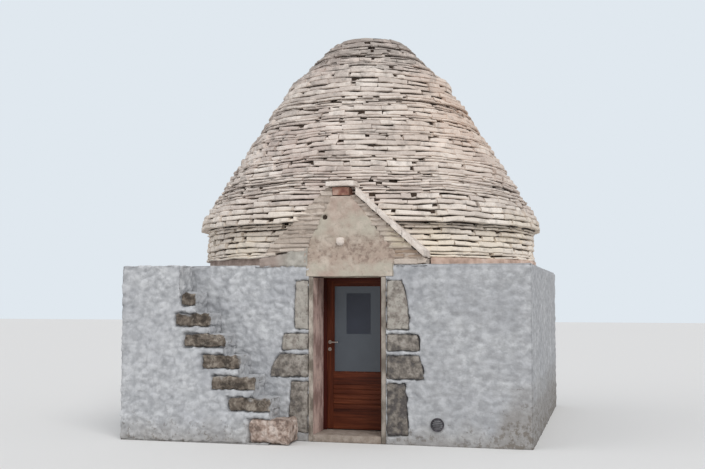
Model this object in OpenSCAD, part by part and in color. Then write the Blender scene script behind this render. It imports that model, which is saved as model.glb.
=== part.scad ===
// Trullo house: thick whitewashed walls round one room, a drum and cone of flat stone courses over a
// corbelled vault, a stone gable over the door, and an outside stair up to the flat top of the walls.
// +X is to the right of the door, +Y to the rear, +Z up. The origin is on the ground, under the cone's tip.

/* [Walls] */
// Width between the two party faces
house_w = 5300; // [5240:20:5800]
// Distance from the cone's axis to the front face
front_reach = 2530; // [2510:10:2700]
// Distance from the cone's axis to the rear face
rear_reach = 2640; // [2610:10:2900]
// Side of the square room
room_w = 2900; // [2700:20:3000]
// Thickness of the stone floor
floor_t = 80; // [60:5:90]
// Thickness of the slabs across the room's corners, under the vault
corner_slab_t = 70; // [50:5:100]

/* [Doorway] */
// Distance from the cone's axis to the middle of the door
door_offset = 300; // [200:10:350]
// Width between the two reveals
door_w = 900; // [860:10:940]
// Height of the underside of the lintel
door_h = 2110; // [2080:5:2120]
// Depth of the reveals, from the front face to the door frame
reveal_d = 500; // [440:10:540]
// Thickness of the plastered lining of each reveal
lining_t = 60; // [50:5:80]
// Height of the threshold
threshold_h = 95; // [92:1:110]
// Height of the lintel
lintel_h = 330; // [280:10:360]
// Length of the lintel past the left reveal
lintel_left = 110; // [90:5:150]
// Length of the lintel past the right reveal
lintel_right = 170; // [120:5:220]
// Height of the inner lintel, which carries the wall's top
inner_lintel_h = 160; // [120:10:200]
// Bearing of the inner lintel on each side
inner_bearing = 140; // [100:10:200]

/* [Jamb stones] */
// Heights of the jamb stones under the top ones, from the bottom
jamb_h = [670, 320, 230]; // [200:5:700]
// Lengths of the stones left of the door, from the bottom
left_jamb_l = [280, 540, 380, 210]; // [180:10:600]
// Lengths of the stones right of the door, from the bottom
right_jamb_l = [290, 500, 440, 310]; // [180:10:600]
// How far the top of each left stone's outer edge draws in, from the bottom
left_jamb_in = [25, 110, 20, 15]; // [0:5:120]
// How far the top of each right stone's outer edge draws in, from the bottom
right_jamb_in = [20, 70, 25, 70]; // [0:5:120]
// Number of faces along each curved outer edge
jamb_faces = 4; // [2:1:6]
// Gap between a curved edge and the wall round it
jamb_fit = 0.3; // [0.2:0.1:1]
// Height of the bed under the lowest stone
jamb_base = 100; // [60:5:100]
// Width of the mortar joint between two stones
jamb_joint = 35; // [20:1:38]
// Depth of the stones into the wall
jamb_d = 350; // [250:10:450]

/* [Door frame] */
// Width of frame that shows inside each reveal
frame_sight = 40; // [30:1:60]
// Depth of the frame, front to back
frame_d = 85; // [80:1:110]
// Thickness of the stop in front of the leaf
stop_t = 35; // [28:1:36]
// Lap of the leaf behind the stop
stop_lap = 12; // [9:1:20]
// Gap between the leaf and the stop
stop_gap = 5; // [5:0.5:6]
// Gap round the leaf
leaf_gap = 8; // [7:0.5:10]

/* [Door leaf] */
// Width of the two stiles
stile_w = 95; // [80:1:115]
// Height of the top rail
top_rail_h = 75; // [60:1:110]
// Height of the middle rail
mid_rail_h = 160; // [100:5:200]
// Height of the bottom rail
bottom_rail_h = 257; // [180:1:300]
// Height of the boarded panel
boards_h = 330; // [250:5:400]
// Number of boards in the panel
board_count = 5; // [3:1:8]
// Thickness of the boarded panel
board_t = 22; // [16:1:30]
// Width and depth of the grooves between boards
board_groove = 5; // [3:1:7]
// Thickness of the glass
glass_t = 6; // [4:1:10]
// Depth of the groove that holds the glass and the panel
pane_seat = 8; // [5:1:12]

/* [Door fittings] */
// Radius of the hinge pins
pin_r = 4; // [3:0.5:5]
// Running gap round the pins
pin_gap = 0.1; // [0.05:0.01:0.1]
// Radius of the hinge knuckles
knuckle_r = 8; // [7:0.5:8]
// Gap between the knuckles and the leaf's inner face
knuckle_back = 1; // [1:0.5:4]
// Length of a hinge
hinge_l = 90; // [70:5:120]
// Width of a hinge plate
hinge_plate_w = 34; // [25:1:36]
// Thickness of a hinge plate
hinge_plate_t = 3; // [2:0.5:3]
// Gap between the two knuckles of a hinge
knuckle_gap = 1; // [0.5:0.5:2]
// Gap between a plate and the knuckle of the other half
plate_gap = 1.5; // [1:0.5:2]
// Length of pin that stands out above a hinge
pin_end = 4; // [2:1:8]
// Distance from the leaf's ends to the middles of the outer hinges
hinge_end = 230; // [180:10:300]
// Height of the lever's spindle
lever_z = 1250; // [1150:10:1350]
// Length of the lever from its spindle
lever_l = 115; // [90:5:130]
// Radius of the lever's bar
lever_r = 8; // [7:0.5:10]
// Distance of the bar from the face of the leaf
lever_reach = 48; // [40:1:60]
// Radius of the spindle
spindle_r = 7; // [6:0.5:8]
// Room round the spindle inside the leaf
spindle_room = 3; // [2:0.5:6]
// Radius of the rose and the key plate
rose_r = 24; // [20:1:28]
// Thickness of the rose and the key plate
rose_t = 7; // [5:1:10]
// Distance from the spindle down to the keyhole
key_drop = 95; // [75:5:120]
// Radius of the round part of the keyhole
key_r = 5; // [4:0.5:6]
// Width of the slot under it
key_slot = 5; // [4:0.5:6]

/* [Roof] */
// Radius of the drum
drum_r = 2500; // [2440:10:2500]
// Height of the mortar bed under the drum
bed_h = 100; // [80:5:120]
// Setback of the bed behind the drum
bed_setback = 60; // [30:5:90]
// Height of a stone course
course_h = 77; // [72:1:82]
// Number of courses in the drum
drum_courses = 7; // [6:1:8]
// Overhang of the drip course at the top of the drum
drip = 90; // [60:5:100]
// Slope of the cone
slope = 58; // [57:0.5:60]
// Number of courses in the lowest third of the cone
lower_courses = 11; // [10:1:12]
// Number of courses in the middle of the cone
middle_courses = 11; // [10:1:12]
// Number of courses beside the top of the vault
upper_courses = 7; // [6:1:8]
// Number of straight courses over the vault
top_courses = 1; // [1:1:2]
// Number of courses that round off the crown
crown_courses = 7; // [6:1:8]
// Radius of the flat top of the crown
crown_r = 400; // [350:10:450]
// Power of the crown's curve, 1 for straight
crown_curve = 1.3; // [1:0.1:2]
// Overhang of the cornice past the drum
cornice_out = 20; // [10:1:25]
// Depth of the cornice into the wall top
cornice_d = 220; // [150:10:250]

/* [Vault] */
// Thickness of the corbelled vault
vault_t = 300; // [250:10:320]
// Height at which the vault's curve would close, above the cap's underside
vault_over = 130; // [90:10:250]
// Number of corbelled courses
corbels = 21; // [18:1:24]
// Thickness of the slab that closes the vault
cap_t = 100; // [80:5:120]

/* [Gable] */
// Depth of the gable's masonry
gable_d = 480; // [420:10:500]
// Height of the plastered face over the lintel
face_h = 720; // [650:10:760]
// Width of the face at its top
face_top_w = 230; // [180:10:300]
// Distance of the face's top from the middle of the door, to the left
apex_offset = 85; // [60:5:110]
// Height of the reddish tile on top of the face, past the height of the verge slabs
tile_over = 10; // [5:1:30]
// Height of the ridge slab
ridge_h = 80; // [60:5:100]
// Length of the ridge slab
ridge_l = 390; // [340:10:430]
// Overhang of the ridge slab in front of the face
ridge_out = 60; // [40:5:80]
// Distance of the right verge's foot from the middle of the door
verge_foot = 1020; // [960:10:1060]
// Height of the top of the verge's foot above the walls
verge_foot_h = 175; // [150:5:200]
// Height of the verge slabs, measured upright
verge_t = 105; // [80:5:120]
// Number of verge slabs
verge_slabs = 6; // [4:1:8]
// Overhang of the verge slabs in front of the face
verge_out = 40; // [20:5:60]
// Joint between two verge slabs
verge_joint = 6; // [4:1:10]
// Gap between a verge slab and the stones above and below it
verge_bed = 0.3; // [0.2:0.1:0.6]
// Distance of the left shoulder's foot from the middle of the door
shoulder_foot = 1100; // [1050:10:1150]
// Height of the left shoulder's foot above the walls
shoulder_foot_h = 190; // [170:5:210]
// Distance of the plaster fillet's foot past the shoulder's foot
fillet_past = 110; // [80:10:160]
// Height of the fillet at its foot, above the walls
fillet_foot_h = 95; // [60:5:98]
// Height of the fillet beside the face, above the walls
fillet_h = 225; // [200:5:240]

/* [Stair] */
// Width of the stair, in front of the wall
stair_w = 450; // [380:10:520]
// Distance from the middle of the door to the bottom block
stair_start = 610; // [560:10:640]
// Length of the bottom block
block_l = 580; // [500:10:600]
// Height of the bottom block
block_h = 330; // [300:5:335]
// Depth of the tread on the bottom block
block_tread = 250; // [220:5:280]
// Number of stone steps over the block
steps = 6; // [5:1:6]
// Rise of each step
rise = 266; // [260:1:270]
// Run of each step
run = 205; // [195:1:210]
// Lengths of the step stones, from the bottom
step_l = [610, 620, 550, 600, 520, 230]; // [200:10:640]
// Height of each step stone
step_h = 200; // [180:5:215]
// Worn corner of each step stone
step_wear = 18; // [10:1:30]

/* [Vent] */
// Radius of the round vent
vent_r = 85; // [70:1:100]
// Distance of the vent from the middle of the door
vent_x = 1167; // [1120:5:1220]
// Height of the vent's middle
vent_z = 265; // [200:5:320]
// Depth of the vent's sleeve in the wall
vent_d = 70; // [50:5:100]
// Distance that the rim stands out of the wall
vent_out = 8; // [5:1:15]
// Width of the rim
vent_rim = 14; // [10:1:20]
// Number of slots in the grille
vent_slots = 5; // [3:2:7]
// Distance of the slots' ends from the rim
slot_margin = 6; // [4:1:12]
// Height of the slots
slot_h = 12; // [8:1:14]
// Depth of the slots
slot_d = 35; // [20:5:45]

/* [Hidden] */

$fn = 96;
// Facets of the large rings
ring_fn = 240;
// Small overlap that lets a cut run through a face
past = 10;
side = house_w / 2;
wall_h = door_h + inner_lintel_h;
room = room_w / 2;
door_x = door_offset;
front = -front_reach;
opening = door_w / 2 + lining_t;

function jamb_z(k) = k == 0 ? jamb_base : jamb_z(k - 1) + jamb_h[k - 1] + jamb_joint;

// Door frame and leaf
frame_y = front + reveal_d;
leaf_y = frame_y + stop_t + stop_gap;
leaf_back = frame_y + frame_d;
leaf_t = leaf_back - leaf_y;
leaf_half = door_w / 2 - frame_sight + stop_lap;
leaf_z = threshold_h + leaf_gap;
leaf_top = door_h - frame_sight + stop_lap;
glass_z = leaf_z + bottom_rail_h + boards_h + mid_rail_h;
glass_top = leaf_top - top_rail_h;
glass_half = leaf_half - stile_w;
pane_y = (leaf_y + leaf_back) / 2;
hinge_x = door_x + leaf_half + leaf_gap / 2;
hinge_y = leaf_back + knuckle_r + knuckle_back;
hinge_z = [leaf_z + hinge_end, (leaf_z + leaf_top) / 2, leaf_top - hinge_end];
lever_x = door_x - leaf_half + stile_w / 2;

// Roof levels, counted in courses
roof_z = wall_h + bed_h;
eave_r = drum_r + drip;
course_in = course_h / tan(slope);
i_lower = drum_courses;
i_middle = i_lower + lower_courses;
i_upper = i_middle + middle_courses;
i_top = i_upper + upper_courses;
i_crown = i_top + top_courses;
i_end = i_crown + crown_courses;
function course_z(i) = roof_z + i * course_h;
function cone_r(i) = eave_r - max(0, i - drum_courses) * course_in;
function crown_fall(i) = pow((i - i_crown + 1) / crown_courses, crown_curve);
function crown_step(i) = cone_r(i_crown - 1) - (cone_r(i_crown - 1) - crown_r) * crown_fall(i);
function course_r(i) = i < drum_courses - 1 ? drum_r : i < i_crown ? cone_r(i) : crown_step(i);
function course_edge(first, last) =
    [for (i = [first : last - 1]) each [[course_r(i), course_z(i)], [course_r(i), course_z(i + 1)]]];

// The vault's curve, and the straight back that the roof rests on
vault_top = course_z(i_top) - cap_t;
vault_rise = vault_top - wall_h + vault_over;
function vault_in(z) = room * sqrt(1 - pow((z - wall_h) / vault_rise, 2));
vault_back = [
    for (z = [wall_h, course_z(i_lower), course_z(i_middle), course_z(i_upper), vault_top])
        [z, vault_in(z) + vault_t]
];
function vault_out(z) = lookup(z, vault_back);
corbel_h = (vault_top - wall_h) / corbels;

// Outline of the gable, seen from the front, with the middle of the door at zero
lintel_top = door_h + lintel_h;
face_l = -door_w / 2 - lintel_left;
face_r = door_w / 2 + lintel_right;
face_top = lintel_top + face_h;
top_l = -apex_offset - face_top_w / 2;
top_r = -apex_offset + face_top_w / 2;
ridge_z = face_top + verge_t + tile_over;
ridge_a = -apex_offset - ridge_l / 2;
ridge_b = -apex_offset + ridge_l / 2;
verge_a = [ridge_b + verge_joint, ridge_z];
verge_b = [verge_foot, wall_h + verge_foot_h];
foot_l = [-shoulder_foot, wall_h + shoulder_foot_h];
fillet_foot = shoulder_foot + fillet_past;
fillet_a = [-fillet_foot, wall_h + fillet_foot_h];
fillet_b = [face_l, wall_h + fillet_h];
function between(a, b, t) = a + (b - a) * t;
fillet_mid = between(fillet_a, fillet_b, fillet_past / (fillet_foot + face_l));

// Stair
stair_front = front - stair_w;
stair_x = door_x - stair_start;
function step_x(i) = stair_x - block_tread - i * run;
function step_z(i) = block_h + (i + 1) * rise;

// A box between two corners
module box(a, b) {
    translate(a) cube(b - a);
}

// Extrudes an outline drawn in X and Z from y0 to y1
module from_front(y0, y1) {
    translate([0, y1, 0]) rotate([90, 0, 0]) linear_extrude(y1 - y0) children();
}

// A round bar along Y
module bar_y(x, z, r, y0, y1) {
    translate([x, y0, z]) rotate([-90, 0, 0]) cylinder(r = r, h = y1 - y0);
}

// The stones on one side of the door, hand -1 on the left. The top one reaches up to the lintel.
// Each outer edge curves in towards its top, and fit is the room left there in the wall's cut.
module jamb_row(lengths, draw_in, hand, fit = 0) {
    for (k = [0 : len(jamb_h)]) {
        z0 = jamb_z(k);
        z1 = k < len(jamb_h) ? z0 + jamb_h[k] : door_h - jamb_joint;
        edge = [for (i = [0 : jamb_faces]) [
            hand * (lengths[k] + fit - draw_in[k] * pow(i / jamb_faces, 2)),
            between(z0, z1, i / jamb_faces)
        ]];
        translate([door_x + hand * opening, 0, 0])
            from_front(front, front + jamb_d) polygon(concat([[0, z0]], edge, [[0, z1]]));
    }
}

module lintel_block() {
    box([door_x + face_l, front, door_h], [door_x + face_r, frame_y, lintel_top]);
}

module inner_lintel_block() {
    box([door_x - opening - inner_bearing, frame_y, door_h], [door_x + opening + inner_bearing, -room, wall_h]);
}

// Walls and floor
module floor_slab() {
    color("#b9ad9a") box([-room, -room, 0], [room, room, floor_t]);
}

module front_wall_left() {
    color("#e6e6e4") difference() {
        box([-side, front, 0], [door_x - opening, -room, wall_h]);
        jamb_row(left_jamb_l, left_jamb_in, -1, jamb_fit);
        lintel_block();
        inner_lintel_block();
    }
}

module front_wall_right() {
    color("#e6e6e4") difference() {
        box([door_x + opening, front, 0], [side, -room, wall_h]);
        jamb_row(right_jamb_l, right_jamb_in, 1, jamb_fit);
        lintel_block();
        inner_lintel_block();
        bar_y(door_x + vent_x, vent_z, vent_r, front - past, front + vent_d);
    }
}

module left_party_wall() {
    color("#dcdad6") box([-side, -room, 0], [-room, room, wall_h]);
}

module right_party_wall() {
    color("#dcdad6") box([room, -room, 0], [side, room, wall_h]);
}

module rear_wall() {
    color("#e6e6e4") box([-side, room, 0], [side, rear_reach, wall_h]);
}

// Slabs that cut off the room's corners, where the square room meets the round vault
module corner_slabs() {
    leg = room * (2 - sqrt(2));
    color("#cbbfae") for (a = [0 : 90 : 270]) rotate([0, 0, a])
        translate([0, 0, wall_h - corner_slab_t]) linear_extrude(corner_slab_t)
            polygon([[room, room], [room - leg, room], [room, room - leg]]);
}

// Doorway
module threshold() {
    color("#d8cdbd") union() {
        box([door_x - door_w / 2, front, 0], [door_x + door_w / 2, frame_y, threshold_h]);
        box([door_x - opening, frame_y, 0], [door_x + opening, -room, threshold_h]);
    }
}

module reveal_linings() {
    color("#d9ccb6") for (hand = [-1, 1]) {
        a = door_x + hand * door_w / 2;
        b = door_x + hand * opening;
        box([min(a, b), front, 0], [max(a, b), frame_y, door_h]);
    }
}

module door_lintel() {
    color("#cdbda6") lintel_block();
}

module inner_lintel() {
    color("#cbbfae") inner_lintel_block();
}

module left_jamb_stones() {
    color("#a49a8a") jamb_row(left_jamb_l, left_jamb_in, -1);
}

module right_jamb_stones() {
    color("#9a9187") jamb_row(right_jamb_l, right_jamb_in, 1);
}

// Door frame: two rebated posts and a rebated head between them
module frame_posts() {
    stop = door_w / 2 - frame_sight;
    color("#5c2f22") for (hand = [-1, 1]) translate([door_x, 0, threshold_h]) scale([hand, 1, 1])
        linear_extrude(door_h - threshold_h) polygon([
            [stop, frame_y], [opening, frame_y], [opening, leaf_back],
            [leaf_half + leaf_gap, leaf_back], [leaf_half + leaf_gap, frame_y + stop_t], [stop, frame_y + stop_t]
        ]);
}

module frame_head() {
    stop = door_w / 2 - frame_sight;
    lap = leaf_half + leaf_gap;
    color("#5c2f22") union() {
        box([door_x - stop, frame_y, leaf_top - stop_lap], [door_x + stop, frame_y + stop_t, door_h]);
        box([door_x - lap, frame_y + stop_t, leaf_top + leaf_gap], [door_x + lap, leaf_back, door_h]);
    }
}

// Glass and boarded panel, which sit in a groove of the stiles and rails
module pane_block(z0, z1, t) {
    box([door_x - glass_half - pane_seat, pane_y - t / 2, z0 - pane_seat],
        [door_x + glass_half + pane_seat, pane_y + t / 2, z1 + pane_seat]);
}

module panes() {
    pane_block(glass_z, glass_top, glass_t);
    pane_block(leaf_z + bottom_rail_h, leaf_z + bottom_rail_h + boards_h, board_t);
}

module leaf_stiles() {
    color("#7a3b2a") difference() {
        for (hand = [-1, 1]) {
            a = door_x + hand * glass_half;
            b = door_x + hand * leaf_half;
            box([min(a, b), leaf_y, leaf_z], [max(a, b), leaf_back, leaf_top]);
        }
        panes();
        bar_y(lever_x, lever_z, spindle_r + spindle_room, leaf_y - past, leaf_back + past);
    }
}

module leaf_rail(z0, z1) {
    box([door_x - glass_half, leaf_y, z0], [door_x + glass_half, leaf_back, z1]);
}

module leaf_rails() {
    color("#7a3b2a") difference() {
        union() {
            leaf_rail(leaf_z, leaf_z + bottom_rail_h);
            leaf_rail(glass_z - mid_rail_h, glass_z);
            leaf_rail(glass_top, leaf_top);
        }
        panes();
    }
}

module leaf_glass() {
    color("#6d7b80") pane_block(glass_z, glass_top, glass_t);
}

module leaf_boards() {
    board_h = boards_h / board_count;
    color("#6e3223") difference() {
        pane_block(leaf_z + bottom_rail_h, leaf_z + bottom_rail_h + boards_h, board_t);
        for (k = [1 : board_count - 1], face = [-1, 1])
            translate([door_x, pane_y + face * board_t / 2, leaf_z + bottom_rail_h + k * board_h])
                cube([2 * (glass_half + pane_seat) + past, 2 * board_groove, board_groove], center = true);
    }
}

// Two round plates on each face of the leaf: the lever's rose, and the key plate under it
module door_roses() {
    color("#b9b9b4") for (face = [[leaf_y - rose_t, leaf_y], [leaf_back, leaf_back + rose_t]]) {
        difference() {
            bar_y(lever_x, lever_z, rose_r, face[0], face[1]);
            bar_y(lever_x, lever_z, spindle_r + pin_gap, face[0] - past, face[1] + past);
        }
        difference() {
            bar_y(lever_x, lever_z - key_drop, rose_r, face[0], face[1]);
            bar_y(lever_x, lever_z - key_drop + key_r, key_r, face[0] - past, face[1] + past);
            box([lever_x - key_slot / 2, face[0] - past, lever_z - key_drop - rose_r / 2],
                [lever_x + key_slot / 2, face[1] + past, lever_z - key_drop + key_r]);
        }
    }
}

// The spindle with a lever at each end
module door_lever() {
    color("#c4c4be") {
        bar_y(lever_x, lever_z, spindle_r, leaf_y - lever_reach, leaf_back + lever_reach);
        for (y = [leaf_y - lever_reach, leaf_back + lever_reach]) translate([lever_x, y, lever_z]) {
            sphere(r = lever_r);
            rotate([0, 90, 0]) cylinder(r = lever_r, h = lever_l);
            translate([lever_l, 0, 0]) sphere(r = lever_r);
        }
    }
}

// One half of every hinge: a plate, a web and a knuckle. The lower halves carry the pins.
module hinge_half(hand, z) {
    knuckle = (hinge_l - knuckle_gap) / 2;
    z0 = hand > 0 ? z - hinge_l / 2 : z + knuckle_gap / 2;
    clear = knuckle_r + plate_gap;
    plate = [leaf_back, leaf_back + hinge_plate_t];
    a = hinge_x + hand * clear;
    b = hinge_x + hand * (clear + hinge_plate_w);
    box([min(a, b), plate[0], z - hinge_l / 2], [max(a, b), plate[1], z + hinge_l / 2]);
    difference() {
        union() {
            translate([hinge_x, hinge_y, z0]) cylinder(r = knuckle_r, h = knuckle);
            box([min(a, hinge_x), plate[0], z0], [max(a, hinge_x), plate[1], z0 + knuckle]);
        }
        if (hand < 0) translate([hinge_x, hinge_y, z0 - past]) cylinder(r = pin_r + pin_gap, h = knuckle + 2 * past);
    }
    if (hand > 0) translate([hinge_x, hinge_y, z0]) cylinder(r = pin_r, h = hinge_l + pin_end);
}

module frame_hinges() {
    color("#8d8a84") for (z = hinge_z) hinge_half(1, z);
}

module leaf_hinges() {
    color("#8d8a84") for (z = hinge_z) hinge_half(-1, z);
}

// A sleeve with a rim, and a slotted plate set back inside it
module wall_vent() {
    inner = vent_r - vent_rim;
    pitch = 2 * inner / (vent_slots + 1);
    color("#4b4a48") translate([door_x + vent_x, 0, vent_z]) difference() {
        bar_y(0, 0, vent_r, front - vent_out, front + vent_d);
        bar_y(0, 0, inner, front - vent_out - past, front);
        for (k = [1 : vent_slots]) {
            z = -inner + k * pitch;
            half = sqrt(inner * inner - pow(abs(z) + slot_h / 2, 2)) - slot_margin;
            box([-half, front - past, z - slot_h / 2], [half, front + slot_d, z + slot_h / 2]);
        }
    }
}

// Roof: rings of flat courses round the vault
module ring(points) {
    rotate_extrude($fn = ring_fn) polygon(points);
}

module gable_space() {
    translate([door_x, 0, 0]) from_front(-eave_r - past, front + gable_d) polygon([
        [fillet_a[0], wall_h - past], [verge_b[0], wall_h - past], verge_b, verge_a, [ridge_b, ridge_z],
        [ridge_b, ridge_z + ridge_h], [ridge_a, ridge_z + ridge_h], [ridge_a, ridge_z], foot_l, fillet_mid, fillet_a
    ]);
}

module lintel_space() {
    box([door_x + face_l, -eave_r - past, wall_h - past], [door_x + face_r, frame_y, lintel_top]);
}

module cornice_ring(r0, r1) {
    intersection() {
        ring([[r0, wall_h], [r1, wall_h], [r1, roof_z], [r0, roof_z]]);
        box([door_x + verge_foot, front - side, wall_h - past], [2 * side, 0, roof_z + past]);
    }
}

module roof_ring(first, last) {
    z0 = course_z(first);
    z1 = course_z(last);
    ring(concat(course_edge(first, last), [[vault_out(z1), z1], [vault_out(z0), z0]]));
}

module roof_drum() {
    bed_r = drum_r - bed_setback;
    z1 = course_z(drum_courses);
    color("#cfc3b2") difference() {
        ring(concat(
            [[bed_r, wall_h], [bed_r, roof_z]], course_edge(0, drum_courses),
            [[vault_out(z1), z1], [vault_out(wall_h), wall_h]]
        ));
        cornice_ring(drum_r - cornice_d, drum_r);
        gable_space();
        lintel_space();
    }
}

module roof_lower() {
    color("#d2c7b7") difference() {
        roof_ring(i_lower, i_middle);
        gable_space();
    }
}

module roof_middle() {
    color("#cbc0b1") roof_ring(i_middle, i_upper);
}

module roof_upper() {
    color("#c7bcae") ring(concat(
        course_edge(i_upper, i_top),
        [[vault_out(vault_top), course_z(i_top)], [vault_out(vault_top), vault_top],
         [vault_out(course_z(i_upper)), course_z(i_upper)]]
    ));
}

module roof_crown() {
    color("#b8aea1") ring(concat(course_edge(i_top, i_end), [[0, course_z(i_end)], [0, course_z(i_top)]]));
}

module cornice() {
    color("#d8bfa0") cornice_ring(drum_r - cornice_d, drum_r + cornice_out);
}

// Corbelled courses, each a little further in than the one below, with a straight back
module inner_vault() {
    steps_in = [for (j = [0 : corbels - 1]) each [
        [vault_in(wall_h + (j + 0.5) * corbel_h), wall_h + j * corbel_h],
        [vault_in(wall_h + (j + 0.5) * corbel_h), wall_h + (j + 1) * corbel_h]
    ]];
    back = [for (k = [len(vault_back) - 1 : -1 : 0]) [vault_back[k][1], vault_back[k][0]]];
    color("#d5cab9") ring(concat(steps_in, back));
}

module vault_cap() {
    color("#c2b7a6") translate([0, 0, vault_top]) cylinder(r = vault_out(vault_top), h = cap_t);
}

// Gable
module gable_piece(points, forward = 0) {
    translate([door_x, 0, 0]) from_front(front - forward, front + gable_d) polygon(points);
}

module gable_face() {
    color("#c9b9a4") gable_piece([[face_l, lintel_top], [face_r, lintel_top], [top_r, face_top], [top_l, face_top]]);
}

module gable_shoulder_left() {
    color("#c4b6a3") gable_piece([
        fillet_b, [face_l, lintel_top], [top_l, face_top], [top_l, ridge_z], [ridge_a, ridge_z], foot_l, fillet_mid
    ]);
}

module gable_shoulder_right() {
    color("#cbbca6") gable_piece([
        [face_r, wall_h], [verge_b[0], wall_h], verge_b - [0, verge_t], verge_a - [0, verge_t],
        [top_r, ridge_z - verge_t], [top_r, face_top], [face_r, lintel_top]
    ]);
}

module plaster_fillet() {
    color("#dedbd4") gable_piece([[fillet_a[0], wall_h], [face_l, wall_h], fillet_b, fillet_a]);
}

module verge_slab_row() {
    joint = verge_joint / (verge_b[0] - verge_a[0]);
    color("#e3dacb") for (k = [0 : verge_slabs - 1]) {
        p = between(verge_a, verge_b, k / verge_slabs) - [0, verge_bed];
        q = between(verge_a, verge_b, (k + 1) / verge_slabs - joint) - [0, verge_bed];
        drop = [0, verge_t - 2 * verge_bed];
        gable_piece([p, q, q - drop, p - drop], verge_out);
    }
}

module ridge_tile() {
    color("#c07a5c") gable_piece([[top_l, face_top], [top_r, face_top], [top_r, ridge_z], [top_l, ridge_z]]);
}

module ridge_slab() {
    color("#ddd2c0") gable_piece([
        [ridge_a, ridge_z], [ridge_b, ridge_z], [ridge_b, ridge_z + ridge_h], [ridge_a, ridge_z + ridge_h]
    ], ridge_out);
}

// Stair: rough step stones bedded in a whitewashed mass, over one large block
module step_stone(i) {
    a = step_x(i) - step_l[i];
    b = step_x(i);
    z0 = step_z(i) - step_h;
    z1 = step_z(i);
    c = step_wear;
    from_front(stair_front, front) polygon([[a, z0], [b - c, z0], [b, z0 + c], [b, z1 - c], [b - c, z1], [a, z1]]);
}

module block_stone() {
    box([stair_x - block_l, stair_front, 0], [stair_x, front, block_h]);
}

module stair_mass() {
    function back_x(i) = step_x(i) - step_wear;
    outline = concat(
        [[-side, 0], [back_x(0), 0]],
        [for (i = [0 : steps - 1]) each [[back_x(i), i == 0 ? block_h : step_z(i - 1)], [back_x(i), step_z(i)]]],
        [[back_x(steps), step_z(steps - 1)], [back_x(steps), wall_h], [-side, wall_h]]
    );
    color("#e2e2df") difference() {
        from_front(stair_front, front) polygon(outline);
        for (i = [0 : steps - 1]) step_stone(i);
        block_stone();
    }
}

module stair_block() {
    color("#cfb7a6") block_stone();
}

module stair_steps() {
    color("#7b7065") for (i = [0 : steps - 1]) step_stone(i);
}

floor_slab();
front_wall_left();
front_wall_right();
left_party_wall();
right_party_wall();
rear_wall();
corner_slabs();
threshold();
reveal_linings();
door_lintel();
inner_lintel();
left_jamb_stones();
right_jamb_stones();
frame_posts();
frame_head();
leaf_stiles();
leaf_rails();
leaf_glass();
leaf_boards();
door_roses();
door_lever();
frame_hinges();
leaf_hinges();
wall_vent();
roof_drum();
roof_lower();
roof_middle();
roof_upper();
roof_crown();
cornice();
inner_vault();
vault_cap();
gable_face();
gable_shoulder_left();
gable_shoulder_right();
plaster_fillet();
verge_slab_row();
ridge_tile();
ridge_slab();
stair_mass();
stair_block();
stair_steps();
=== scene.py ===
# Trullo house: the finish of every piece, in the order in which the house is built.
import math
import random

import bmesh
import bpy
from mathutils import Euler, Matrix, Vector, noise


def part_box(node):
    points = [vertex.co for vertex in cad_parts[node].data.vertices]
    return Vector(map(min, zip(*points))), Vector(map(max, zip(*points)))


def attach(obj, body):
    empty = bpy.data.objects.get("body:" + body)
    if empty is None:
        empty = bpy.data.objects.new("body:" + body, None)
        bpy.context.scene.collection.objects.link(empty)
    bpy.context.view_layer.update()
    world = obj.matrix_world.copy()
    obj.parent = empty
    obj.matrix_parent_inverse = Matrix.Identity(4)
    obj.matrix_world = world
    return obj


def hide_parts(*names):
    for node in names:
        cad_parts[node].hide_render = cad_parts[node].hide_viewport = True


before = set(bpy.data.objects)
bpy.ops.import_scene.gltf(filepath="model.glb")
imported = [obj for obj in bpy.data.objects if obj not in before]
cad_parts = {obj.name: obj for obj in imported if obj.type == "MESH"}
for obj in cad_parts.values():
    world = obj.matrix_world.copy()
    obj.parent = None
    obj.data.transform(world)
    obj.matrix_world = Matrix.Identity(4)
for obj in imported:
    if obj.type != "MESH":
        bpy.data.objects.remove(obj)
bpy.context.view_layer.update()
scene = bpy.context.scene
scene.view_settings.view_transform = "Standard"
random.seed(7)
noise.seed_set(7)

# View and light
# The camera stands at eye height, a little to the right of the door, and looks slightly up.
# The light is soft and even, from a broad source high on the right and a fainter one on the left.
eye = Vector((3.587, -14.797, 1.85))
aim = Vector((0.03, -1.2, 2.74))
lens = 50.5
camera = bpy.data.objects.new("camera", bpy.data.cameras.new("camera"))
camera.data.lens = lens
camera.location = eye
camera.rotation_euler = (aim - eye).to_track_quat("-Z", "Y").to_euler()
scene.collection.objects.link(camera)
scene.camera = camera


def soft_light(name, energy, spread, towards):
    """A broad, even light that shines along a direction."""
    data = bpy.data.lights.new(name, "SUN")
    data.energy = energy
    data.angle = math.radians(spread)
    light = bpy.data.objects.new(name, data)
    light.rotation_euler = Vector(towards).to_track_quat("-Z", "Y").to_euler()
    scene.collection.objects.link(light)


soft_light("key light", energy=1.55, spread=34, towards=(-0.55, 0.75, -0.85))
soft_light("fill light", energy=0.5, spread=60, towards=(0.8, 0.5, -0.5))

# Whitewashed walls
# Rubble laid in lime mortar and coated with many layers of limewash, which soften the stones but leave
# their relief. The wash laps up to the bare stones beside the door, and is thin and soiled at the foot.


def shade(code):
    """A colour written as on a paint card, as linear values."""
    parts = [int(code[k:k + 2], 16) / 255 for k in (0, 2, 4)]
    return tuple(c / 12.92 if c < 0.04045 else ((c + 0.055) / 1.055) ** 2.4 for c in parts) + (1.0,)


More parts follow.
